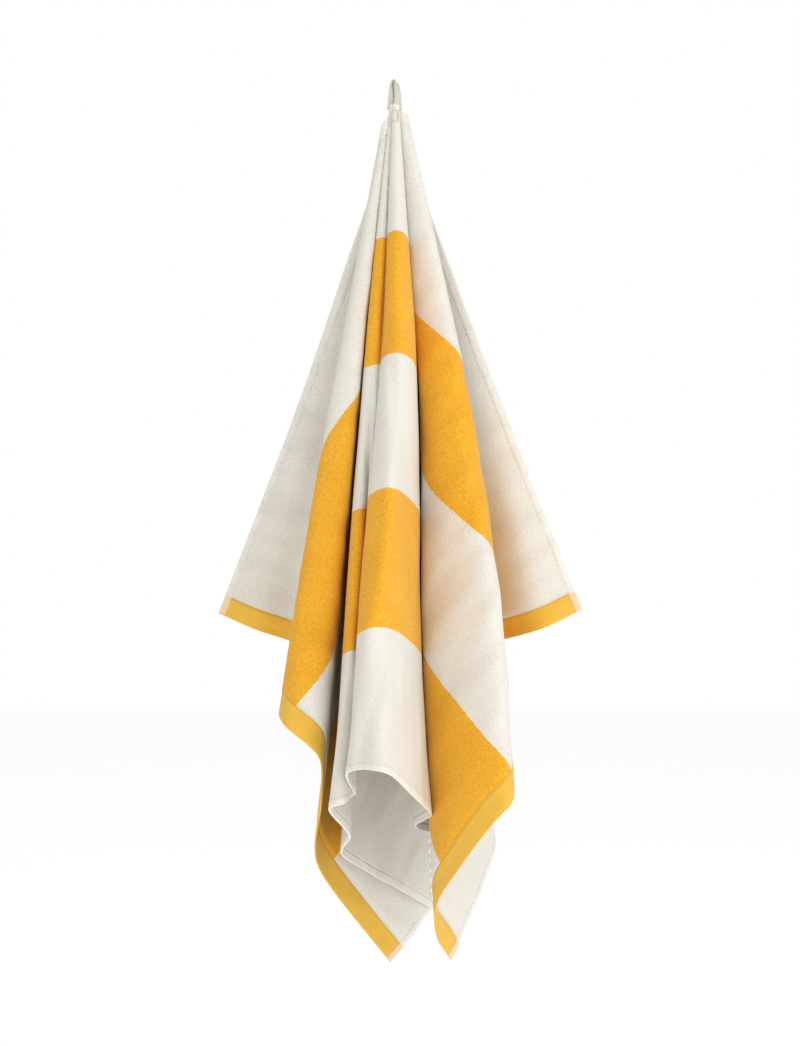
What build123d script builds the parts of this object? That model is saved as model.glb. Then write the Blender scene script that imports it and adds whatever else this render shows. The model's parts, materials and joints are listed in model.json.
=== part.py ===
from build123d import *
import math
import os

# A large striped terry towel that hangs from a hook by the tape loop at the middle of one
# long edge. The origin is the inside of the loop's top, where the hook bears. +X is to the
# right as the towel is looked at, -Y is towards the person looking and +Z is up.
# Every fold line of the hanging cloth runs towards one gather point just above the seam, so
# the cloth is a folded cone: flat panels between fold lines, each at its true flat size.

# The towel laid flat, hemmed
TOWEL_LENGTH = 1600.0
TOWEL_WIDTH = 1000.0
END_HEM = 30.0
SIDE_HEM = 10.0
TERRY_THICKNESS = 3.0
END_HEM_THICKNESS = 2.2
SIDE_HEM_THICKNESS = 4.0
THREAD = 0.8
THREAD_PROUD = 0.6
STITCH_INSET = 1.6

# The hanging loop, one length of woven tape
TAPE_WIDTH = 11.0
TAPE_THICKNESS = 1.2
LOOP_HEIGHT = 34.0
LOOP_SPREAD = 23.0
LOOP_TOP_RADIUS = 3.0
TAB_RISE = 4.0
SWING_AXIS_DEPTH = 6.0
CLEARANCE = 0.4

# The gathered cloth between the seam and the open folds
GATHER_DEPTH = 22.0
NECK_BOTTOM = -150.0
NECK_TOP_SIZE = (29.0, 16.0)
NECK_BOTTOM_SIZE = (94.0, 52.0)
NECK_BOTTOM_SHIFT = -4.0
TACK_SIZE = (5.5, 18.0)
TACK_DROP = 12.0

# Fold lines from the left end of the loop edge to its right end, in degrees: the angle to
# the right of straight down, and the angle forward of the gather point
FOLD_LINES = [
    (-18.3, -2.0),
    (-8.0, -3.5),
    (-10.7, 10.0),
    (-6.2, 12.5),
    (-6.4, 4.0),
    (1.6, -10.0),
    (2.9, -8.0),
    (-2.8, 3.5),
    (-5.2, 14.5),
    (1.8, 16.0),
    (2.2, 5.0),
    (5.0, -6.5),
    (7.0, -5.2),
    (2.9, 10.0),
    (12.2, 12.0),
    (9.8, -9.0),
    (19.8, -2.0),
]
LEAN = 2.4

# Worked out
SEAM_Z = -LOOP_HEIGHT
GATHER = Vector(0, 0, SEAM_Z + GATHER_DEPTH)
SWING_Z = SEAM_Z - SWING_AXIS_DEPTH
TAB_X = (LOOP_SPREAD - TAPE_THICKNESS) / 2
HALF_LENGTH = TOWEL_LENGTH / 2
MITRE_REACH = 15.0
FIRST_ANGLE = math.atan2(GATHER_DEPTH, HALF_LENGTH)
CLOTH_ANGLE = math.pi - 2 * FIRST_ANGLE


def direction(across, forward):
    """The unit vector down a fold line, from its two angles in degrees."""
    a = math.radians(across)
    f = math.radians(forward)
    return Vector(math.sin(a) * math.cos(f), -math.sin(f), -math.cos(a) * math.cos(f))


def fold_directions(depth_gain):
    """All fold lines, with their forward angles multiplied by depth_gain."""
    return [direction(across, depth_gain * (forward - LEAN)) for across, forward in FOLD_LINES]


def angle_between(one, other):
    """The angle between two unit vectors, in radians."""
    return 2 * math.asin((one - other).length / 2)


def cloth_taken_up(directions):
    """The angle of flat cloth, about the gather point, that the panels use in all."""
    return sum(angle_between(a, b) for a, b in zip(directions, directions[1:]))


def fitted_directions():
    """The fold lines, deepened until the panels use exactly the cloth there is."""
    low, high = 0.5, 2.0
    for _ in range(60):
        middle = (low + high) / 2
        if cloth_taken_up(fold_directions(middle)) < CLOTH_ANGLE:
            low = middle
        else:
            high = middle
    return fold_directions(low)


def flat_ray(angle):
    """A fold line's direction on the flat towel: left at 0, straight across at 90 degrees."""
    return (-math.cos(angle), -math.sin(angle))


def panel_plane(down_left, down_right, angle_left, angle_right):
    """The plane of a panel, whose x and y axes are the flat towel's length and width."""
    left, right = flat_ray(angle_left), flat_ray(angle_right)
    size = left[0] * right[1] - left[1] * right[0]
    length_axis = down_left * (right[1] / size) - down_right * (left[1] / size)
    width_axis = down_right * (left[0] / size) - down_left * (right[0] / size)
    return Plane(origin=GATHER, x_dir=length_axis, z_dir=length_axis.cross(width_axis))


directions = fitted_directions()
angles = [FIRST_ANGLE]
for before, after in zip(directions, directions[1:]):
    angles.append(angles[-1] + angle_between(before, after))
planes = [
    panel_plane(directions[i], directions[i + 1], angles[i], angles[i + 1])
    for i in range(len(directions) - 1)
]


def mitre_plane(index):
    """The plane that halves the fold at a fold line, facing the panel on its right."""
    along = directions[index]
    if index == 0:
        front = planes[0].z_dir
    elif index == len(planes):
        front = planes[-1].z_dir
    else:
        front = planes[index - 1].z_dir + planes[index].z_dir
    return Plane(origin=GATHER, x_dir=along, z_dir=front.cross(along))


def side_kept(corners, inward):
    """What is left of a convex outline MITRE_REACH outside the line that inward is normal to."""
    kept = []
    for here, there in zip(corners, corners[1:] + corners[:1]):
        depth_here = here[0] * inward[0] + here[1] * inward[1] + MITRE_REACH
        depth_there = there[0] * inward[0] + there[1] * inward[1] + MITRE_REACH
        if depth_here >= 0:
            kept.append(here)
        if depth_here * depth_there < 0:
            t = depth_here / (depth_here - depth_there)
            kept.append((here[0] + t * (there[0] - here[0]), here[1] + t * (there[1] - here[1])))
    return kept


def panel_outline(index, x_range, v_range):
    """The corners, on the flat towel, of the part of a strip that lies in one panel."""
    top, bottom = (-GATHER_DEPTH - v for v in v_range)
    corners = [(x_range[0], bottom), (x_range[1], bottom), (x_range[1], top), (x_range[0], top)]
    left, right = flat_ray(angles[index]), flat_ray(angles[index + 1])
    corners = side_kept(corners, (-left[1], left[0]))
    return side_kept(corners, (right[1], -right[0])) if len(corners) > 2 else []


def panel_solids(x_range, v_range, thickness, raised=0.0):
    """The strip of cloth between two lengths and two widths, one solid in each panel.

    x_range is measured from the middle of the loop edge and v_range from that edge. The strip
    is as thick as said and lies on the panel's middle plane, or raised in front of it.
    """
    solids = []
    for i, plane in enumerate(planes):
        corners = panel_outline(i, x_range, v_range)
        if len(corners) < 3:
            continue
        cuts = (mitre_plane(i), -mitre_plane(i + 1), -Plane.XY.offset(NECK_BOTTOM))
        with BuildPart() as panel:
            with BuildSketch(plane.offset(raised)):
                with BuildLine():
                    Polyline(*corners, close=True)
                make_face()
            extrude(amount=thickness / 2, both=True)
            for cut in cuts:
                split(bisect_by=cut, keep=Keep.TOP)
        solids += [
            solid for solid in panel.part.solids()
            if all(cut.to_local_coords(solid.center()).Z > 0 for cut in cuts)
        ]
    return solids


def write_node(name, solids):
    """Labels one node's solids and writes them as its STEP file."""
    node = Compound(label=name, children=solids)
    export_step(node, f"parts/{name}.step")


os.makedirs("parts", exist_ok=True)
inner_x = HALF_LENGTH - END_HEM
inner_v = TOWEL_WIDTH - SIDE_HEM

# The hanging loop: a narrow inverted U with upright ends, rounded about the swing axis
loop_side = LOOP_TOP_RADIUS + TAPE_THICKNESS / 2
with BuildPart() as hanging_loop:
    with BuildSketch(Plane.XZ) as loop_profile:
        with BuildLine():
            top_z = -LOOP_TOP_RADIUS
            right = Polyline((TAB_X, SWING_Z - TAPE_WIDTH / 2), (TAB_X, SEAM_Z + TAB_RISE),
                             (loop_side, top_z))
            CenterArc((0, top_z), loop_side, 0, 180)
            mirror(right, about=Plane.YZ)
        trace(line_width=TAPE_THICKNESS)
    extrude(amount=TAPE_WIDTH / 2, both=True)
    ends = hanging_loop.edges().filter_by(Axis.X).group_by(Axis.Z)[0]
    fillet(ends, TAPE_WIDTH / 2 - 0.01)
hanging_loop.part.label = "hanging_loop"
export_step(hanging_loop.part, "parts/hanging_loop.step")

# The gathered neck of the cloth, slotted for the two ends of the tape
with BuildPart() as neck:
    with BuildSketch(Plane.XY.offset(SEAM_Z)):
        RectangleRounded(*NECK_TOP_SIZE, radius=5)
    with BuildSketch(Plane.XY.offset(NECK_BOTTOM)):
        with Locations((0, NECK_BOTTOM_SHIFT)):
            Ellipse(NECK_BOTTOM_SIZE[0] / 2, NECK_BOTTOM_SIZE[1] / 2)
    loft()
    slot_depth = SWING_AXIS_DEPTH + TAPE_WIDTH / 2 + CLEARANCE
    with Locations((TAB_X, 0, SEAM_Z), (-TAB_X, 0, SEAM_Z)):
        Box(TAPE_THICKNESS + 2 * CLEARANCE, 2 * NECK_BOTTOM_SIZE[1], 2 * slot_depth,
            mode=Mode.SUBTRACT)

write_node("terry_cloth",
           [neck.part.solid()]
           + panel_solids((-inner_x, inner_x), (SIDE_HEM, inner_v), TERRY_THICKNESS))

# The flat-woven ends, each turned over into a wide hem, and the row of stitches on its front
for side, sign in (("left", -1), ("right", 1)):
    hem = sorted((sign * inner_x, sign * HALF_LENGTH))
    row = sorted(sign * (inner_x + STITCH_INSET + reach) for reach in (0, THREAD))
    proud = (END_HEM_THICKNESS + THREAD_PROUD) / 2
    write_node(f"{side}_end_hem", panel_solids(hem, (SIDE_HEM, inner_v), END_HEM_THICKNESS))
    write_node(f"{side}_end_stitching",
               panel_solids(row, (SIDE_HEM, inner_v), THREAD_PROUD, proud))

# The long edges, each turned over into a narrow hem, and their stitches
full_length = (-HALF_LENGTH, HALF_LENGTH)
proud = (SIDE_HEM_THICKNESS + THREAD_PROUD) / 2
for name, hem, stitches in (
    ("loop_side", (0, SIDE_HEM), SIDE_HEM - STITCH_INSET - THREAD),
    ("far_side", (inner_v, TOWEL_WIDTH), inner_v + STITCH_INSET),
):
    write_node(f"{name}_hem", panel_solids(full_length, hem, SIDE_HEM_THICKNESS))
    write_node(f"{name}_stitching",
               panel_solids(full_length, (stitches, stitches + THREAD), THREAD_PROUD, proud))

# The box of stitches that holds the folded ends of the tape, on the front of the neck
neck_lean = (NECK_BOTTOM_SIZE[1] - NECK_TOP_SIZE[1]) / 2 - NECK_BOTTOM_SHIFT
neck_front = Plane(origin=(0, -NECK_TOP_SIZE[1] / 2, SEAM_Z), x_dir=(1, 0, 0),
                   z_dir=(0, NECK_BOTTOM - SEAM_Z, neck_lean))
with BuildPart() as loop_tack:
    with BuildSketch(neck_front):
        with Locations((0, -TACK_DROP - TACK_SIZE[1] / 2)):
            Rectangle(*TACK_SIZE)
            Rectangle(TACK_SIZE[0] - 2 * THREAD, TACK_SIZE[1] - 2 * THREAD, mode=Mode.SUBTRACT)
    extrude(amount=THREAD_PROUD)
loop_tack.part.label = "loop_tack"
export_step(loop_tack.part, "parts/loop_tack.step")
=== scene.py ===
import json
import math

import bpy
import numpy as np
from bpy.props import FloatProperty, FloatVectorProperty, IntProperty, PointerProperty
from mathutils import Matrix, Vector

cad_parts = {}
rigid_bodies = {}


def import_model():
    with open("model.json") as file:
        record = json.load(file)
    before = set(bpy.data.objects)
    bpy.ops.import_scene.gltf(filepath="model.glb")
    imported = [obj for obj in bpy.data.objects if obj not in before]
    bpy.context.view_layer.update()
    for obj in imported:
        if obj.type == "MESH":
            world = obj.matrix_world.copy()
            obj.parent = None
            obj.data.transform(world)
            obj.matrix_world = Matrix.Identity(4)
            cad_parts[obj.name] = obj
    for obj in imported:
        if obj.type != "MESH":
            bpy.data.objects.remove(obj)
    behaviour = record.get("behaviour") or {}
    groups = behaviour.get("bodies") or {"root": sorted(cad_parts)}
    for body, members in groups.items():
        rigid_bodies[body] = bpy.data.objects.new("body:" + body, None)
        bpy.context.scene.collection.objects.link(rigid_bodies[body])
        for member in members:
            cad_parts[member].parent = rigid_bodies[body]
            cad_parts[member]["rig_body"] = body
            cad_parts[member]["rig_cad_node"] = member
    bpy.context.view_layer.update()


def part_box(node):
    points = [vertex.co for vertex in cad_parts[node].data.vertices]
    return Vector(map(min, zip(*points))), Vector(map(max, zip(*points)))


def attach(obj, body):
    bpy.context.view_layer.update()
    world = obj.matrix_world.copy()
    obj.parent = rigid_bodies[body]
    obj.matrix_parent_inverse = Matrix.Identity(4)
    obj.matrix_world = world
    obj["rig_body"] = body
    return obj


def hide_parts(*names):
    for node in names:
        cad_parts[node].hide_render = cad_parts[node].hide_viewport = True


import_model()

bl_info = {
    "name": "Hanging striped towel",
    "version": (1, 0, 0),
    "blender": (4, 5, 0),
    "location": "View3D > Sidebar > Towel",
    "description": "A large striped terry towel hanging in folds from its tape loop",
    "category": "Add Mesh",
}

SEAM_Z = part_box("terry_cloth")[1].z

# The folds of the hanging cloth, from the left end of the loop edge to its right end. A row has a
# fold's angle to the right of straight down and its angle forward, in degrees, three times: in
# the upper cloth, half way down and in the lower cloth.
FOLDS = np.array([
    ((-16.8, -3.8), (-18.4, -3.8), (-19.0, -4.0)),
    ((-13.0, -2.6), (-14.2, -2.6), (-14.5, -2.4)),
    ((-9.4, -3.4), (-10.4, -3.2), (-10.1, -3.6)),
    ((-9.1, 1.4), (-9.3, 1.4), (-8.9, 1.6)),
    ((-10.0, 6.6), (-10.2, 6.8), (-9.8, 7.3)),
    ((-9.7, 10.0), (-9.8, 10.3), (-9.5, 10.6)),
    ((-6.6, 10.8), (-6.4, 10.8), (-6.4, 10.8)),
    ((-5.6, 6.0), (-5.6, 5.8), (-5.8, 5.8)),
    ((-4.6, -0.2), (-5.0, -0.5), (-5.6, -0.7)),
    ((0.2, -5.6), (0.4, -5.8), (0.7, -5.7)),
    ((2.1, -6.9), (2.4, -7.2), (2.7, -7.0)),
    ((0.4, -4.6), (0.4, -4.7), (0.5, -4.4)),
    ((-3.0, 1.2), (-3.2, 0.6), (-3.9, 0.6)),
    ((-4.0, 6.0), (-3.8, 5.6), (-3.4, 5.4)),
    ((-5.4, 10.8), (-5.0, 11.0), (-4.9, 11.2)),
    ((-3.6, 11.8), (-4.0, 11.8), (-4.0, 11.6)),
    ((-2.4, 10.3), (-3.3, 10.2), (-3.1, 9.4)),
    ((-1.5, 13.4), (-3.2, 14.0), (-3.7, 13.7)),
    ((0.7, 14.9), (-1.0, 15.8), (-1.0, 15.4)),
    ((3.2, 12.4), (1.3, 12.2), (1.2, 11.6)),
    ((4.0, 5.8), (2.8, 5.6), (2.8, 5.2)),
    ((3.2, 1.6), (1.8, 1.4), (1.6, 1.8)),
    ((3.8, -1.8), (3.0, -1.8), (3.0, -1.2)),
    ((7.0, -6.6), (7.4, -6.2), (7.8, -5.4)),
    ((5.6, 0.6), (4.8, 0.8), (4.2, 1.1)),
    ((4.4, 3.6), (3.4, 3.2), (2.9, 2.9)),
    ((4.5, 5.9), (3.5, 6.0), (3.1, 5.8)),
    ((11.4, 8.5), (10.6, 9.8), (8.6, 10.0)),
    ((12.3, 4.4), (11.2, 4.8), (9.2, 5.0)),
    ((10.0, -2.6), (9.4, -2.8), (8.9, -2.8)),
    ((9.2, -8.4), (9.0, -8.9), (8.9, -9.0)),
    ((11.8, -5.8), (11.0, -5.8), (10.8, -5.6)),
    ((15.6, -3.6), (15.0, -2.8), (15.0, -2.4)),
    ((18.8, -3.6), (19.7, -3.8), (20.4, -3.8)),
])
# Taken off every forward angle, in degrees, so that the whole cloth leans back a little
LEAN = 1.3
# The forward angles are multiplied by a gain in this range, found by halving it this many times
GAIN_RANGE = (0.5, 2.5)
GAIN_HALVINGS = 50
# How much of its flat length the cloth hangs at, by the angle of flat cloth about the loop
HANG = np.array([
    (0, 1.0), (15, 1.0), (25, 1.02), (32, 1.02), (45, 1.005), (70, 0.99), (80, 0.985),
    (90, 0.975), (100, 0.98), (110, 0.98), (120, 0.965), (128, 0.96), (135, 0.985), (145, 1.0),
    (180, 1.0),
])
# Distances from the gather point at which the upper and the lower fold angles hold
UPPER_CLOTH = 0.30
LOWER_CLOTH = 1.08
# How much wider the gathered top is than a cone, in metres along x, y and z
NECK_SPREAD = np.array([0.045, 0.014, 0.0])
# Height of the gather point above the seam
GATHER_DEPTH = 0.022
# Soft waves in the hanging cloth: waves per metre along and across it, and their depth
WAVES = np.array([
    (9.0, 2.1, 0.0022), (-14.0, 3.4, 0.0014), (21.0, -1.7, 0.0010), (5.0, 6.2, 0.0018),
    (31.0, 4.0, 0.0006), (-26.0, 7.5, 0.0006),
])
WAVE_PHASE_STEP = 1.7
WAVES_FULL_AT = 0.6
# Small puckers along the two sewn edges: depth, length, and how far from the edge they reach
PUCKER = 0.0004
PUCKER_LENGTH = 0.013
PUCKER_REACH = 0.012
PUCKERS_FULL_AT = 0.3
# Waves and puckers push the cloth mostly forward
WAVE_PUSH = np.array([0.12, -1.0, 0.0])
# The bottom edge kicks up a little at the front of the middle fold: by how much, from how far
# down the flat cloth, and about which flat angle and how wide to its sides, in degrees
HEM_LIFT = 0.02
FLICK_FROM = 0.79
FLICK_ANGLE = 89
FLICK_SPREAD = 7

# Sewing: how far a hem reaches over the terry, the terry under a side hem as a share of the
# hem's width, how far a stitch row stands from the hem's inner edge, and the gaps at its ends
HEM_LAP = 0.0015
TERRY_UNDER_HEM = 0.7
STITCH_INSET = 0.0016
END_ROW_GAP = 0.004
SIDE_ROW_GAP = 0.002
# The tack: a box of stitches, with two rows across at each end
TACK_WIDTH = 0.0055
TACK_HEIGHT = 0.018
TACK_TOP = 0.012
TACK_ROW_GAP = 0.0009
TACK_PROUD = 0.0003
# The loop's height from sewn end to top, half its width, and how far its ends come forward
LOOP_DROP = 0.042
LOOP_HALF = 0.0058
LOOP_FORWARD = 0.006

# Materials: terry loops per metre, spacing of the threads of the plain weave, length of the loop's
# tape, spacing of its ribs, and how bright the shaded side of the white pile is
LOOPS_PER_METRE = 620.0
WARP_SPACING = 0.0011
WEFT_SPACING = 0.0009
TAPE_LENGTH = 0.10
RIB_SPACING = 0.0012
PILE_SHADE = 0.80
# Colour of the painted shade in the hollows between the loops of the yellow pile
YELLOW_PILE_SHADE = (0.72, 0.30, 0.012)

# Stage: a pale floor that glows a little, even light all round, three soft lights that face one
# point, each with its place, size in metres and power in watts, and a level camera
FLOOR_Z = -1.8
FLOOR_REACH = 9.0
FLOOR_GLOW = 0.34
PAPER = ((0.93, 0.93, 0.925), (0.95, 0.95, 0.945))
WHITE_LIGHT = (1.0, 1.0, 1.0, 1.0)
SKY_STRENGTH = 0.66
LIGHTS_FACE = np.array([0.0, 0.0, -0.6])
LIGHTS = {
    "key": ((2.6, -3.0, 0.9), 2.4, 60.0),
    "side": ((3.0, -0.5, -0.3), 2.0, 11.0),
    "fill": ((-1.6, -3.6, -0.2), 3.0, 30.0),
}
CAMERA_PLACE = (0.0076, -2.7, -0.632)
CAMERA_LENS = 64.8


# ---------------------------------------------------------------------------- properties


class TowelSizes(bpy.types.PropertyGroup):
    """Sizes of the towel laid flat, of its hems and of its thread."""

    length: FloatProperty(
        name="Length", description="Along the stripes", default=1.6, unit="LENGTH")
    width: FloatProperty(
        name="Width", description="Across the stripes", default=1.0, unit="LENGTH")
    pile: FloatProperty(
        name="Pile", description="Thickness of the terry", default=0.003, unit="LENGTH")
    end_hem: FloatProperty(
        name="End hem", description="Width of the flat-woven ends", default=0.03, unit="LENGTH")
    end_hem_thickness: FloatProperty(
        name="End hem thickness", description="Both layers", default=0.0024, unit="LENGTH")
    side_hem: FloatProperty(
        name="Side hem", description="Width of the turned long edges", default=0.01, unit="LENGTH")
    side_hem_thickness: FloatProperty(
        name="Side hem thickness", description="All its layers", default=0.0034, unit="LENGTH")
    stitch: FloatProperty(
        name="Stitch", description="Length of one stitch", default=0.0034, unit="LENGTH")
    thread: FloatProperty(
        name="Thread", description="Radius of the sewing thread", default=0.00032, unit="LENGTH")
    tape_width: FloatProperty(
        name="Tape width", description="Of the hanging loop", default=0.011, unit="LENGTH")
    tape_thickness: FloatProperty(
        name="Tape thickness", description="Of the hanging loop", default=0.0011, unit="LENGTH")
    rows_along: IntProperty(
        name="Cells along", description="Cells of the cloth along its length", default=284)
    rows_across: IntProperty(
        name="Cells across", description="Cells of the cloth across its width", default=160)


class TowelColours(bpy.types.PropertyGroup):
    """Colours of the yarns, and where the stripes lie."""

    white: FloatVectorProperty(
        name="White", description="Off-white yarn", subtype="COLOR", default=(0.84, 0.805, 0.725))
    yellow: FloatVectorProperty(
        name="Yellow", description="Yellow pile yarn", subtype="COLOR", default=(0.90, 0.545, 0.04))
    band: FloatVectorProperty(
        name="Band", description="Yellow ground yarn", subtype="COLOR", default=(0.90, 0.53, 0.06))
    edge: FloatVectorProperty(
        name="Edge", description="Turned long edge where it crosses the end hem",
        subtype="COLOR", default=(0.86, 0.62, 0.38))
    tape: FloatVectorProperty(
        name="Tape", description="Hanging loop", subtype="COLOR", default=(0.76, 0.72, 0.63))
    stripes: FloatVectorProperty(
        name="Stripes", description="Edges of the two yellow stripes, from the loop edge",
        size=4, default=(0.205, 0.393, 0.592, 0.787))


# ---------------------------------------------------------------------------- materials


class Value:
    """A socket in a material's node tree, with arithmetic that adds Math nodes."""

    def __init__(self, finish, socket):
        self.finish = finish
        self.socket = socket

    def math(self, operation, *others):
        return self.finish.node("Math", {"operation": operation}, [self, *others])

    def __add__(self, other):
        return self.math("ADD", other)

    def __sub__(self, other):
        return self.math("SUBTRACT", other)

    def __rsub__(self, other):
        return self.finish.node("Math", {"operation": "SUBTRACT"}, [other, self])

    def __mul__(self, other):
        return self.math("MULTIPLY", other)

    def __gt__(self, other):
        return self.math("GREATER_THAN", other)

    def __lt__(self, other):
        return self.math("LESS_THAN", other)

    __radd__ = __add__
    __rmul__ = __mul__

    def within(self, low, high):
        """1 between two values and 0 elsewhere."""
        return (self > low) * (self < high)


class Finish:
    """One material while it is being written."""

    def __init__(self, name, roughness, sheen):
        self.material = bpy.data.materials.new(name)
        self.material.use_nodes = True
        self.tree = self.material.node_tree
        self.shader = self.tree.nodes["Principled BSDF"]
        self.set(roughness, "Roughness")
        self.set(sheen, "Sheen Weight")
        self.set(0.6, "Sheen Roughness")
        self.set(WHITE_LIGHT, "Sheen Tint")
        self.set(0.15, "Specular IOR Level")

    def node(self, kind, settings=None, inputs=(), output=0):
        """A node of a type, with its settings made first and then its inputs, as a Value."""
        made = self.tree.nodes.new("ShaderNode" + kind)
        for key, setting in (settings or {}).items():
            setattr(made, key, setting)
        pairs = inputs.items() if isinstance(inputs, dict) else enumerate(inputs)
        for key, given in pairs:
            if isinstance(given, Value):
                self.tree.links.new(given.socket, made.inputs[key])
            else:
                made.inputs[key].default_value = given
        return Value(self, made.outputs[output])

    def set(self, value, name):
        """Gives one of the shader's sockets a number or a link."""
        if isinstance(value, Value):
            self.tree.links.new(value.socket, self.shader.inputs[name])
        else:
            self.shader.inputs[name].default_value = value

    def flat(self, length=1.0, width=1.0):
        """The mesh's flat coordinates times a length and a width: a vector, and its two parts."""
        uv = self.node("UVMap", {"uv_map": "flat"})
        scaled = self.node("VectorMath", {"operation": "MULTIPLY"}, [uv, (length, width, 1.0)])
        along = self.node("SeparateXYZ", None, [scaled])
        across = Value(self, along.socket.node.outputs[1])
        return scaled, along, across

    def noise(self, at, scale, detail=2.0):
        """Soft noise between 0 and 1 at a vector, with about scale blobs to the unit."""
        return self.node("TexNoise", None, {"Vector": at, "Scale": scale, "Detail": detail})

    def loops(self, metres, **settings):
        """The distance from the middle of the nearest loop of pile, in loops."""
        return self.node("TexVoronoi", {"feature": "F1"},
                         {"Vector": metres, "Scale": LOOPS_PER_METRE, **settings})

    def mix(self, factor, one, other):
        """One colour at factor 0 and the other at 1."""
        made = self.node("Mix", {"data_type": "RGBA"}, {0: factor})
        node = made.socket.node
        for key, colour in ((6, one), (7, other)):
            if isinstance(colour, Value):
                self.tree.links.new(colour.socket, node.inputs[key])
            else:
                node.inputs[key].default_value = (*colour[:3], 1.0)
        return Value(self, node.outputs[2])

    def bump(self, height, distance, strength):
        """Roughens the surface by a height, which 1 makes distance metres tall."""
        bumped = self.node("Bump", None,
                           {"Strength": strength, "Distance": distance, "Height": height})
        self.set(bumped, "Normal")


def wave(value, spacing):
    """A sine that repeats at a spacing."""
    return (value * (2 * math.pi / spacing)).math("SINE")


def darker(colour, share):
    """A share of a colour's light."""
    return tuple(share * c for c in colour[:3])


def terry_finish(sizes, colours):
    """Looped pile: stripes dyed in the yarn, each loop a small bead that catches the light, with
    painted shade in the hollows between the loops.
    """
    pile = Finish("terry_pile", 0.95, 0.12)
    metres, _, across = pile.flat(sizes.length, sizes.width)
    waver = (pile.noise(metres, 160.0) - 0.5) * 0.0035
    at = across + waver
    upper_start, upper_end, lower_start, lower_end = colours.stripes
    striped = at.within(upper_start, upper_end) + at.within(lower_start, lower_end)
    loops = pile.loops(metres, Randomness=0.8)
    tufts = pile.noise(metres, 230.0, 3.0)
    patches = pile.noise(metres, 14.0, 3.0)
    # Painted shade in the hollows between the loops, plus random tone from the tufts and patches
    pile_shade_and_tone = loops * 0.9 + (1 - tufts) * 0.7 + (1 - patches) * 0.35 - 0.35
    white = pile.mix(pile_shade_and_tone, colours.white, darker(colours.white, PILE_SHADE))
    yellow = pile.mix(pile_shade_and_tone, colours.yellow, YELLOW_PILE_SHADE)
    pile.set(pile.mix(striped, white, yellow), "Base Color")
    pile.bump((1 - loops) * 0.6 + tufts * 0.6, 0.0011, 0.75)
    return pile.material


def flat_weave_finish(sizes, colours):
    """Plain ground weave: warp and weft threads cross at right angles, with a few slubs."""
    weave = Finish("flat_weave", 0.85, 0.15)
    metres, along, across = weave.flat(sizes.length, sizes.width)
    cloth = wave(along, WARP_SPACING) * wave(across, WEFT_SPACING)
    slub = weave.noise(metres, 60.0, 4.0)
    shade = cloth * 0.25 + slub * 0.9 - 0.1
    weave.set(weave.mix(shade, darker(colours.band, 0.86), colours.band), "Base Color")
    weave.bump(cloth * 0.5 + slub * 0.4, 0.0004, 0.6)
    return weave.material


def side_hem_finish(sizes, colours):
    """The turned long edge: white pile with painted shade between its loops, and bare ground cloth
    where it crosses an end hem.
    """
    edge = Finish("turned_edge", 0.92, 0.3)
    metres, along, _ = edge.flat(sizes.length, sizes.width)
    ends = (along < sizes.end_hem) + (along > sizes.length - sizes.end_hem)
    loops = edge.loops(metres)
    tufts = edge.noise(metres, 260.0, 3.0)
    # Painted shade in the hollows between the loops, plus random tone from the tufts
    pile_shade_and_tone = loops * 0.8 + (1 - tufts) * 0.7 - 0.3
    white = edge.mix(pile_shade_and_tone, colours.white, darker(colours.white, PILE_SHADE))
    bare = edge.mix(tufts, darker(colours.edge, 0.9), colours.edge)
    edge.set(edge.mix(ends, white, bare), "Base Color")
    edge.bump((1 - loops) * 0.5 + tufts * 0.5, 0.0009, 0.6)
    return edge.material


def tape_finish(sizes, colours):
    """Herringbone cotton tape: fine ribs that lean one way and then the other."""
    tape = Finish("loop_tape", 0.8, 0.2)
    place, along, across = tape.flat()
    fold = (across - 0.5).math("ABSOLUTE")
    ribs = wave(along * TAPE_LENGTH + fold * sizes.tape_width, RIB_SPACING)
    worn = tape.noise(place, 30.0, 3.0)
    tape.set(tape.mix(ribs * 0.3 + worn * 0.8 - 0.1, darker(colours.tape, 0.75), colours.tape),
             "Base Color")
    tape.bump(ribs, 0.0003, 0.6)
    return tape.material


def thread_finish(name, colour):
    """Two-ply sewing thread."""
    thread = Finish(name, 0.7, 0.1)
    _, along, around = thread.flat()
    twist = wave(along * 3.0 + around, 1.0)
    thread.set(thread.mix(twist * 0.5 + 0.5, darker(colour, 0.7), colour), "Base Color")
    thread.bump(twist, 0.0001, 0.5)
    return thread.material


# ---------------------------------------------------------------------------- the drape


def fold_curve(corners, steps=24):
    """A centripetal Catmull-Rom curve through the fold corners.

    Each stretch is a cubic Hermite: its slope at a corner is the mean of the chords' speeds on
    both sides, weighted by each other's gap, and a gap is the square root of a chord's length.
    """
    run = np.vstack([2 * corners[0] - corners[1], corners, 2 * corners[-1] - corners[-2]])
    chord = np.diff(run, axis=0)
    gap = np.sqrt(np.linalg.norm(chord, axis=1, keepdims=True))
    speed = chord / gap
    slope = (speed[:-1] * gap[1:] + speed[1:] * gap[:-1]) / (gap[:-1] + gap[1:])
    t = np.linspace(0, 1, steps, endpoint=False)[:, None]
    start, end = corners[:-1, None], corners[1:, None]
    leave, arrive = (slope[:-1] * gap[1:-1])[:, None], (slope[1:] * gap[1:-1])[:, None]
    line = (start * (2 * t**3 - 3 * t**2 + 1) + leave * (t**3 - 2 * t**2 + t)
            + end * (3 * t**2 - 2 * t**3) + arrive * (t**3 - t**2))
    return np.vstack([line.reshape(-1, 2), corners[-1]])


def fold_directions(line, gain):
    """Unit vectors down the cloth from its two angles, the forward one times gain."""
    across = np.radians(line[:, 0])
    forward = np.radians(gain * (line[:, 1] - LEAN))
    return np.stack([np.sin(across) * np.cos(forward), -np.sin(forward),
                     -np.cos(across) * np.cos(forward)], axis=1)


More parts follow.
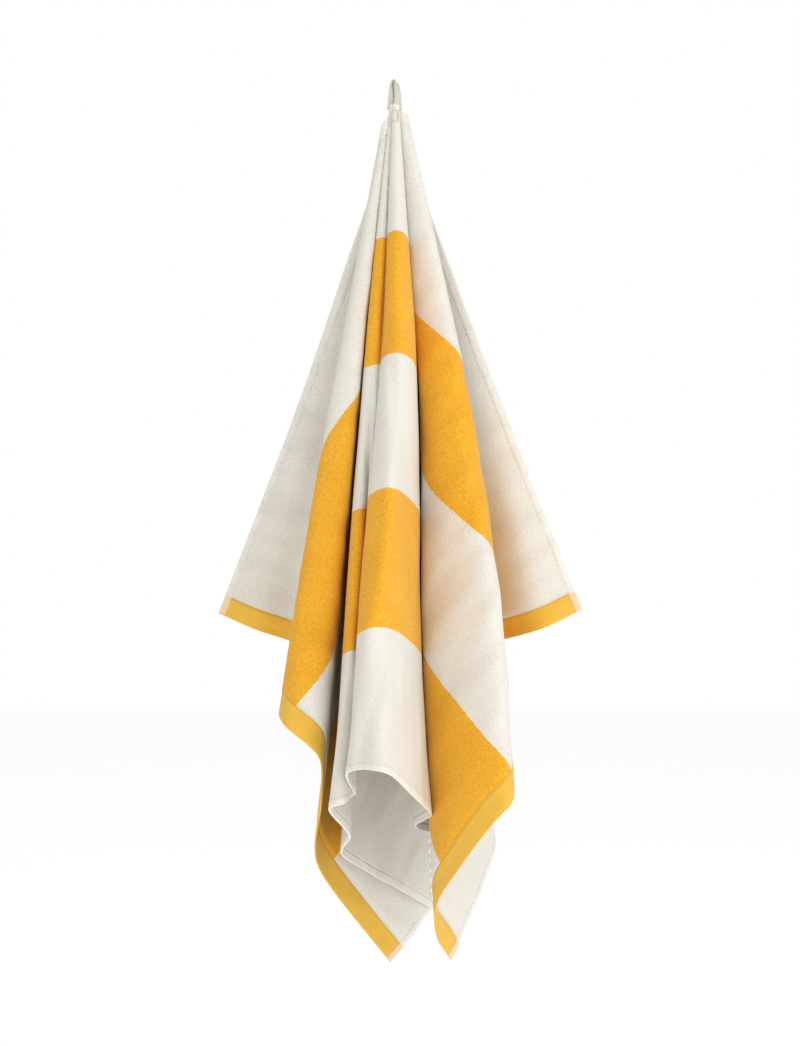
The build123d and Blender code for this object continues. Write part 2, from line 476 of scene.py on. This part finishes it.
class Drape:
    """The hanging cloth as a function of its flat coordinates.

    The cloth is a folded cone about a gather point just above the seam. A point of the flat
    towel at a distance and an angle from that point hangs at about that distance down the fold
    direction of that angle. The fold directions run along a curve on the unit sphere whose
    length is the flat angle itself, so each height of the cloth is bent and not stretched. The
    blend of the three heights, HANG and the spread at the neck are small departures from that.
    """

    def __init__(self, sizes):
        self.half = sizes.length / 2
        self.width = sizes.width
        self.gather = np.array([0.0, 0.0, SEAM_Z + GATHER_DEPTH])
        self.first = math.atan2(GATHER_DEPTH, self.half)
        self.levels = [self.fitted(FOLDS[:, level]) for level in range(3)]

    def fitted(self, corners):
        """A fold curve deepened until it takes up exactly the cloth there is."""
        line = fold_curve(corners)
        low, high = GAIN_RANGE
        for _ in range(GAIN_HALVINGS):
            gain = (low + high) / 2
            directions = fold_directions(line, gain)
            taken = np.linalg.norm(np.diff(directions, axis=0), axis=1)
            low, high = (gain, high) if taken.sum() < math.pi - 2 * self.first else (low, gain)
        return self.first + np.r_[0, np.cumsum(taken)], directions

    def direction(self, curve, angle):
        """The unit vector down the cloth at a flat angle, between the points of a fold curve."""
        angles, directions = curve
        found = np.stack([np.interp(angle, angles, directions[:, i]) for i in range(3)], axis=-1)
        return found / np.linalg.norm(found, axis=-1, keepdims=True)

    def at(self, u, v):
        """Where the flat point hangs: u along the length from its middle, v from the loop edge.

        With d the smooth step of the reach between the upper and the lower cloth, the direction
        is upper times (1 - d)(1 - 2d), plus middle times 4d(1 - d), plus lower times d(2d - 1).
        """
        reach = np.hypot(u, v + GATHER_DEPTH)
        angle = np.arctan2(v + GATHER_DEPTH, -u)
        t = np.clip((reach - UPPER_CLOTH) / (LOWER_CLOTH - UPPER_CLOTH), 0, 1)
        down = (t * t * (3 - 2 * t))[..., None]
        upper, middle, lower = (self.direction(level, angle) for level in self.levels)
        way = (upper * (1 - down) * (1 - 2 * down) + middle * 4 * down * (1 - down)
               + lower * down * (2 * down - 1))
        way /= np.linalg.norm(way, axis=-1, keepdims=True)
        hang = np.interp(angle, np.radians(HANG[:, 0]), HANG[:, 1])
        spread = 1 + NECK_SPREAD * (1 - down) / reach[..., None]
        flick = HEM_LIFT * np.exp(-((np.degrees(angle) - FLICK_ANGLE) / FLICK_SPREAD) ** 2)
        hang = hang - flick * np.clip((v - FLICK_FROM) / (self.width - FLICK_FROM), 0, 1) ** 2
        return self.gather + (reach * hang)[..., None] * way * spread + self.waves(u, v, reach)

    def waves(self, u, v, reach):
        """Shallow waves, a sum of sines over the flat cloth, and puckers along its two sewn edges.

        The puckers are a sine along the edge, of uneven length, that fades away from the edge.
        """
        phase = np.arange(len(WAVES)) * WAVE_PHASE_STEP
        turns = 2 * math.pi * (u[..., None] * WAVES[:, 0] + v[..., None] * WAVES[:, 1]) + phase
        waves = (np.sin(turns) * WAVES[:, 2]).sum(axis=-1) * np.clip(reach / WAVES_FULL_AT, 0, 1)
        rim = np.minimum(v, self.width - v)
        ripple = np.sin(2 * math.pi * u / PUCKER_LENGTH + 3 * np.sin(u * 19))
        ripple = ripple * np.exp(-rim / PUCKER_REACH) * np.clip(reach / PUCKERS_FULL_AT, 0, 1)
        return (waves + PUCKER * ripple)[..., None] * WAVE_PUSH

    def normal(self, u, v, step=0.0015):
        """The cloth's front at a flat point, from the differences on both sides of it."""
        along = self.at(u + step, v) - self.at(u - step, v)
        across = self.at(u, v - step) - self.at(u, v + step)
        front = np.cross(along, across)
        return front / (np.linalg.norm(front, axis=-1, keepdims=True) + 1e-12)


# ---------------------------------------------------------------------------- meshes


def grid_faces(rows, columns, ring=False):
    """Quads between the points of a grid; a ring also joins its last column to its first."""
    i, j = np.meshgrid(np.arange(rows - 1), np.arange(columns if ring else columns - 1),
                       indexing="ij")
    k = (j + 1) % columns
    return np.stack([i * columns + j, (i + 1) * columns + j, (i + 1) * columns + k,
                     i * columns + k], axis=-1).reshape(-1, 4)


def end_caps(rows, columns):
    """Quads that close the first and the last row of a ring grid, facing as its faces do."""
    j = np.arange(columns // 2 - 1)
    first = np.stack([j, j + 1, columns - 2 - j, columns - 1 - j], axis=-1)
    return np.vstack([first, (rows - 1) * columns + first[:, ::-1]])


def put_mesh(name, points, faces, uv, material):
    """A smooth mesh object of quads, with a UV pair for each point."""
    mesh = bpy.data.meshes.new(name)
    mesh.from_pydata(points.reshape(-1, 3), [], faces)
    layer = mesh.uv_layers.new(name="flat")
    layer.data.foreach_set("uv", uv.reshape(-1, 2)[faces.ravel()].astype(np.float32).ravel())
    mesh.polygons.foreach_set("use_smooth", np.ones(len(faces), bool))
    mesh.materials.append(material)
    piece = bpy.data.objects.new(name, mesh)
    bpy.context.scene.collection.objects.link(piece)
    return piece


def settle(piece, body, slot, *nodes):
    """A finished piece rides on its body and stands for its CAD nodes."""
    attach(piece, body)
    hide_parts(*nodes)


def hem_profile(width, thickness, flat_points=6, round_points=8):
    """The outline of a turned hem: its front, a half round at the rim, and its back.

    Distances from the hem's inner edge, and heights from the cloth's middle.
    """
    half = thickness / 2
    flat = np.linspace(0, width - half, flat_points)
    turn = np.linspace(math.pi / 2, -math.pi / 2, round_points)[1:-1]
    reach = np.r_[flat, width - half + half * np.cos(turn), flat[::-1]]
    height = np.r_[np.full(flat_points, half), half * np.sin(turn), np.full(flat_points, -half)]
    return reach, height


def hem_piece(name, drape, sizes, material, along, edge, inward, width, thickness, lengthwise):
    """A hem's outline carried along its edge of the draped cloth, closed at both ends."""
    reach, height = hem_profile(width + HEM_LAP, thickness)
    from_edge = width + HEM_LAP - reach
    a, r = np.meshgrid(along, edge + inward * from_edge, indexing="ij")
    u, v = (a, r) if lengthwise else (r, a)
    points = drape.at(u, v) + height[None, :, None] * drape.normal(u, v)
    uv = np.stack([u / sizes.length + 0.5, v / sizes.width], axis=-1)
    faces = np.vstack([grid_faces(*a.shape, ring=True), end_caps(*a.shape)])
    if (inward < 0) == lengthwise:
        faces = faces[:, ::-1]
    return put_mesh(name, points, faces, uv, material)


def stitches(name, drape, sizes, material, u, v, heading, height):
    """Stitches on the draped cloth, each a short rounded length of thread that dips at both ends.

    u, v and heading give each stitch's middle and its direction on the flat cloth, and height
    its side: a stitch is a tube whose centre runs half a stitch each way and rises as one minus
    the square of the way along it, with rings that narrow towards both ends.
    """
    sides, rings = 5, 4
    s = np.linspace(-1, 1, rings)[None, :, None]
    turn = np.linspace(0, 2 * math.pi, sides, endpoint=False)[None, None, :]
    ahead, side = heading[:, None, None, :], heading[:, None, None, ::-1] * np.array([-1.0, 1.0])
    ring = sizes.thread * np.sqrt(1.1 - s**2)
    flat = np.stack([u, v], axis=-1)[:, None, None, :]
    flat = flat + 0.44 * sizes.stitch * s[..., None] * ahead
    flat = flat + (ring * np.cos(turn))[..., None] * side
    rise = np.abs(height)[:, None, None] + ring * np.sin(turn) + sizes.thread * (0.6 - s**2)
    face = np.sign(height)[:, None, None]
    cu, cv = flat[..., 0], flat[..., 1]
    points = drape.at(cu, cv) + (face * rise)[..., None] * drape.normal(cu, cv)
    count = len(u)
    faces = grid_faces(rings, sides, ring=True) + (np.arange(count) * rings * sides)[:, None, None]
    faces = np.where(height[:, None, None] > 0, faces, faces[..., ::-1]).reshape(-1, 4)
    place = np.stack(np.broadcast_arrays(s / 2 + 0.5, turn / (2 * math.pi)), axis=-1)
    uv = np.ascontiguousarray(np.broadcast_to(place, (count, rings, sides, 2)))
    return put_mesh(name, points, faces, uv, material)


def stitch_row(name, drape, sizes, material, start, end, height):
    """A straight row of stitches between two flat points, on both faces of the cloth."""
    start, end = np.array(start), np.array(end)
    length = np.linalg.norm(end - start)
    count = int(length / sizes.stitch)
    t = (np.arange(count) + 0.5) / count
    places = start + t[:, None] * (end - start)
    places = np.vstack([places, places])
    heading = np.broadcast_to((end - start) / length, places.shape)
    heights = np.repeat([height, -height], count)
    return stitches(name, drape, sizes, material, places[:, 0], places[:, 1], heading, heights)


def loop_tape(name, sizes, material):
    """The hanging loop: a flat tape along a narrow arch, a quarter turned between base and top.

    The arch's half width goes with t and its drop with a mix of t squared and t to the fourth,
    for t from -1 to 1. Across it, the tape is a flat oval whose long way turns from nearly
    sideways at the sewn ends to front-to-back at the top, where it lies over a hook.
    """
    t = np.linspace(-1, 1, 97)
    drop = LOOP_DROP * (0.45 * t**2 + 0.55 * t**4)
    top = sizes.tape_thickness / 2
    line = np.stack([LOOP_HALF * t, -LOOP_FORWARD * np.abs(t) ** 1.5, top - drop], axis=1)
    ahead = np.gradient(line, axis=0)
    ahead /= np.linalg.norm(ahead, axis=1, keepdims=True)
    twist = np.radians(90 - 66 * np.abs(t) ** 0.5)
    wide = np.stack([np.cos(twist), np.sin(twist), 0 * t], axis=1)
    wide -= ahead * (wide * ahead).sum(axis=1, keepdims=True)
    wide /= np.linalg.norm(wide, axis=1, keepdims=True)
    thin = np.cross(ahead, wide)
    turn = np.linspace(0, 2 * math.pi, 20, endpoint=False)
    oval_x = np.sign(np.cos(turn)) * np.abs(np.cos(turn)) ** 0.6 * sizes.tape_width / 2
    oval_y = np.sign(np.sin(turn)) * np.abs(np.sin(turn)) ** 0.9 * sizes.tape_thickness / 2
    points = (line[:, None] + wide[:, None] * oval_x[None, :, None]
              + thin[:, None] * oval_y[None, :, None])
    along = np.broadcast_to((t / 2 + 0.5)[:, None], points.shape[:2])
    across = np.broadcast_to(oval_x / sizes.tape_width + 0.5, points.shape[:2])
    rows, columns = points.shape[:2]
    faces = np.vstack([grid_faces(rows, columns, ring=True), end_caps(rows, columns)])[:, ::-1]
    return put_mesh(name, points, faces, np.stack([along, across], axis=-1), material)


# ---------------------------------------------------------------------------- operators


def settings():
    """The scene's sizes and colours."""
    scene = bpy.context.scene
    return scene.towel_sizes, scene.towel_colours


def spaced(low, high, count, crowd):
    """Values from low to high that stand closer about the middle, as t plus crowd times t cubed."""
    t = np.linspace(-1, 1, count)
    return (low + high) / 2 + (high - low) / 2 * (t + crowd * t**3) / (1 + crowd)


class TOWEL_OT_loop(bpy.types.Operator):
    """Makes the tape loop and the tack of thread under it."""

    bl_idname = "towel.loop"
    bl_label = "Loop and tack"

    def execute(self, context):
        sizes, colours = settings()
        drape = Drape(sizes)
        loop = loop_tape("tape_loop", sizes, tape_finish(sizes, colours))
        settle(loop, "loop", "tape", "hanging_loop")
        half, low, high = TACK_WIDTH / 2, TACK_TOP, TACK_TOP + TACK_HEIGHT
        rows = np.arange(low, high, sizes.thread * 2.2)
        ends = np.array([low, low + TACK_ROW_GAP, high - TACK_ROW_GAP, high])
        u = np.r_[np.full(len(rows), -half), np.full(len(rows), half), 0 * ends]
        v = np.r_[rows, rows, ends]
        heading = np.vstack([np.tile([0.35, 0.94], (len(rows), 1)),
                             np.tile([-0.35, 0.94], (len(rows), 1)),
                             np.tile([1.0, 0.0], (len(ends), 1))])
        finish = thread_finish("tack_thread", colours.tape)
        tack = stitches("stitched_tack", drape, sizes, finish, u, v, heading,
                        np.full(len(u), sizes.pile / 2 + TACK_PROUD))
        settle(tack, "towel", "thread", "loop_tack")
        return {"FINISHED"}


class TOWEL_OT_terry(bpy.types.Operator):
    """Makes the terry field between the hems as one draped sheet."""

    bl_idname = "towel.terry"
    bl_label = "Terry cloth"

    def execute(self, context):
        sizes, colours = settings()
        drape = Drape(sizes)
        end = sizes.length / 2 - sizes.end_hem
        along = spaced(-end, end, sizes.rows_along + 1, 0.8)
        t = np.linspace(0, 1, sizes.rows_across + 1)
        rim = sizes.side_hem * TERRY_UNDER_HEM
        down = rim + (sizes.width - 2 * rim) * (t + 0.5 * t**2) / 1.5
        u, v = np.meshgrid(along, down, indexing="ij")
        uv = np.stack([u / sizes.length + 0.5, v / sizes.width], axis=-1)
        piece = put_mesh("terry_towel", drape.at(u, v), grid_faces(*u.shape), uv,
                         terry_finish(sizes, colours))
        shell = piece.modifiers.new("pile", "SOLIDIFY")
        shell.thickness = sizes.pile
        shell.offset = 0.0
        settle(piece, "towel", "terry", "terry_cloth")
        return {"FINISHED"}


class TOWEL_OT_hems(bpy.types.Operator):
    """Makes the two flat-woven end hems and the two turned long edges."""

    bl_idname = "towel.hems"
    bl_label = "Hems"

    def execute(self, context):
        sizes, colours = settings()
        drape = Drape(sizes)
        half = sizes.length / 2
        weave = flat_weave_finish(sizes, colours)
        turned = side_hem_finish(sizes, colours)
        across = np.linspace(sizes.side_hem, sizes.width - sizes.side_hem, 240)
        along = spaced(-half, half, 640, 0.8)
        for side, sign in (("left", -1), ("right", 1)):
            piece = hem_piece(f"{side}_flat_woven_end", drape, sizes, weave, across, sign * half,
                              -sign, sizes.end_hem, sizes.end_hem_thickness, False)
            settle(piece, "towel", "flat_weave", f"{side}_end_hem")
        for side, edge, inward in (("loop_side", 0.0, 1), ("far_side", sizes.width, -1)):
            piece = hem_piece(f"{side}_turned_edge", drape, sizes, turned, along, edge, inward,
                              sizes.side_hem, sizes.side_hem_thickness, True)
            settle(piece, "towel", "side_hem", f"{side}_hem")
        return {"FINISHED"}


class TOWEL_OT_stitching(bpy.types.Operator):
    bl_idname = "towel.stitching"
    bl_label = "Stitching"

    def execute(self, context):
        sizes, colours = settings()
        drape = Drape(sizes)
        half = sizes.length / 2
        white = thread_finish("white_thread", colours.white)
        gold = thread_finish("yellow_thread", colours.band)
        for side, sign in (("left", -1), ("right", 1)):
            u = sign * (half - sizes.end_hem + STITCH_INSET)
            row = stitch_row(f"{side}_end_stitches", drape, sizes, gold, (u, END_ROW_GAP),
                             (u, sizes.width - END_ROW_GAP), sizes.end_hem_thickness / 2)
            settle(row, "towel", "thread", f"{side}_end_stitching")
        for side, v in (("loop_side", sizes.side_hem - STITCH_INSET),
                        ("far_side", sizes.width - sizes.side_hem + STITCH_INSET)):
            row = stitch_row(f"{side}_stitches", drape, sizes, white, (SIDE_ROW_GAP - half, v),
                             (half - SIDE_ROW_GAP, v), sizes.side_hem_thickness / 2)
            settle(row, "towel", "thread", f"{side}_stitching")
        return {"FINISHED"}


def studio_world():
    """Even pale light all round, and plain white where the camera sees past the object."""
    world = bpy.data.worlds.new("studio")
    world.use_nodes = True
    tree = world.node_tree
    glow = tree.nodes["Background"]
    glow.inputs["Color"].default_value = WHITE_LIGHT
    glow.inputs["Strength"].default_value = SKY_STRENGTH
    white = tree.nodes.new("ShaderNodeBackground")
    white.inputs["Color"].default_value = WHITE_LIGHT
    seen = tree.nodes.new("ShaderNodeLightPath")
    either = tree.nodes.new("ShaderNodeMixShader")
    tree.links.new(seen.outputs["Is Camera Ray"], either.inputs[0])
    tree.links.new(glow.outputs[0], either.inputs[1])
    tree.links.new(white.outputs[0], either.inputs[2])
    tree.links.new(either.outputs[0], tree.nodes["World Output"].inputs[0])
    return world


def pale_floor():
    """A level square of pale paper under the towel."""
    y, x = np.meshgrid([-FLOOR_REACH, FLOOR_REACH], [-FLOOR_REACH, FLOOR_REACH], indexing="ij")
    points = np.stack([x, y, np.full(x.shape, FLOOR_Z)], axis=-1)
    paper = Finish("floor_paper", 0.9, 0.0)
    fibre = paper.noise(paper.node("TexCoord", output=3), 3.0)
    paper.set(paper.mix(fibre, *PAPER), "Base Color")
    paper.set(WHITE_LIGHT, "Emission Color")
    paper.set(FLOOR_GLOW, "Emission Strength")
    faces = grid_faces(*x.shape)[:, ::-1]
    return put_mesh("floor", points, faces, np.zeros((*x.shape, 2)), paper.material)


def soft_light(name, place, size, power):
    """A square area light that faces the middle of the towel."""
    lamp = bpy.data.lights.new(name, "AREA")
    lamp.size = size
    lamp.energy = power
    light = bpy.data.objects.new(name, lamp)
    light.location = place
    ahead = Vector(LIGHTS_FACE - np.array(place))
    light.rotation_euler = ahead.to_track_quat("-Z", "Y").to_euler()
    bpy.context.scene.collection.objects.link(light)


def level_camera():
    """A camera in front of the towel that looks level along Y."""
    lens = bpy.data.cameras.new("camera")
    lens.lens = CAMERA_LENS
    camera = bpy.data.objects.new("camera", lens)
    camera.location = CAMERA_PLACE
    camera.rotation_euler = (math.pi / 2, 0.0, 0.0)
    bpy.context.scene.collection.objects.link(camera)
    return camera


class TOWEL_OT_stage(bpy.types.Operator):
    """Makes the pale floor, the light all round, the soft lights and the camera."""

    bl_idname = "towel.stage"
    bl_label = "Stage"

    def execute(self, context):
        pale_floor()
        context.scene.world = studio_world()
        for name, (place, size, power) in LIGHTS.items():
            soft_light(name, place, size, power)
        context.scene.camera = level_camera()
        context.scene.view_settings.view_transform = "Standard"
        return {"FINISHED"}


class TOWEL_PT_panel(bpy.types.Panel):
    """Lists the towel's operators in the sidebar."""

    bl_idname = "TOWEL_PT_panel"
    bl_label = "Towel"
    bl_space_type = "VIEW_3D"
    bl_region_type = "UI"
    bl_category = "Towel"

    def draw(self, context):
        for step in STEPS:
            self.layout.operator(step.bl_idname)


STEPS = (TOWEL_OT_stage, TOWEL_OT_loop, TOWEL_OT_terry, TOWEL_OT_hems, TOWEL_OT_stitching)
CLASSES = (TowelSizes, TowelColours, *STEPS, TOWEL_PT_panel)


def register():
    """Adds the classes to Blender, and the towel's sizes and colours to every scene."""
    for cls in CLASSES:
        bpy.utils.register_class(cls)
    bpy.types.Scene.towel_sizes = PointerProperty(type=TowelSizes)
    bpy.types.Scene.towel_colours = PointerProperty(type=TowelColours)


def unregister():
    """Takes away what register adds."""
    del bpy.types.Scene.towel_colours
    del bpy.types.Scene.towel_sizes
    for cls in reversed(CLASSES):
        bpy.utils.unregister_class(cls)


def main():
    """Builds the stage and the towel."""
    register()
    bpy.ops.towel.stage()
    bpy.ops.towel.loop()
    bpy.ops.towel.terry()
    bpy.ops.towel.hems()
    bpy.ops.towel.stitching()


if __name__ == "__main__":
    main()
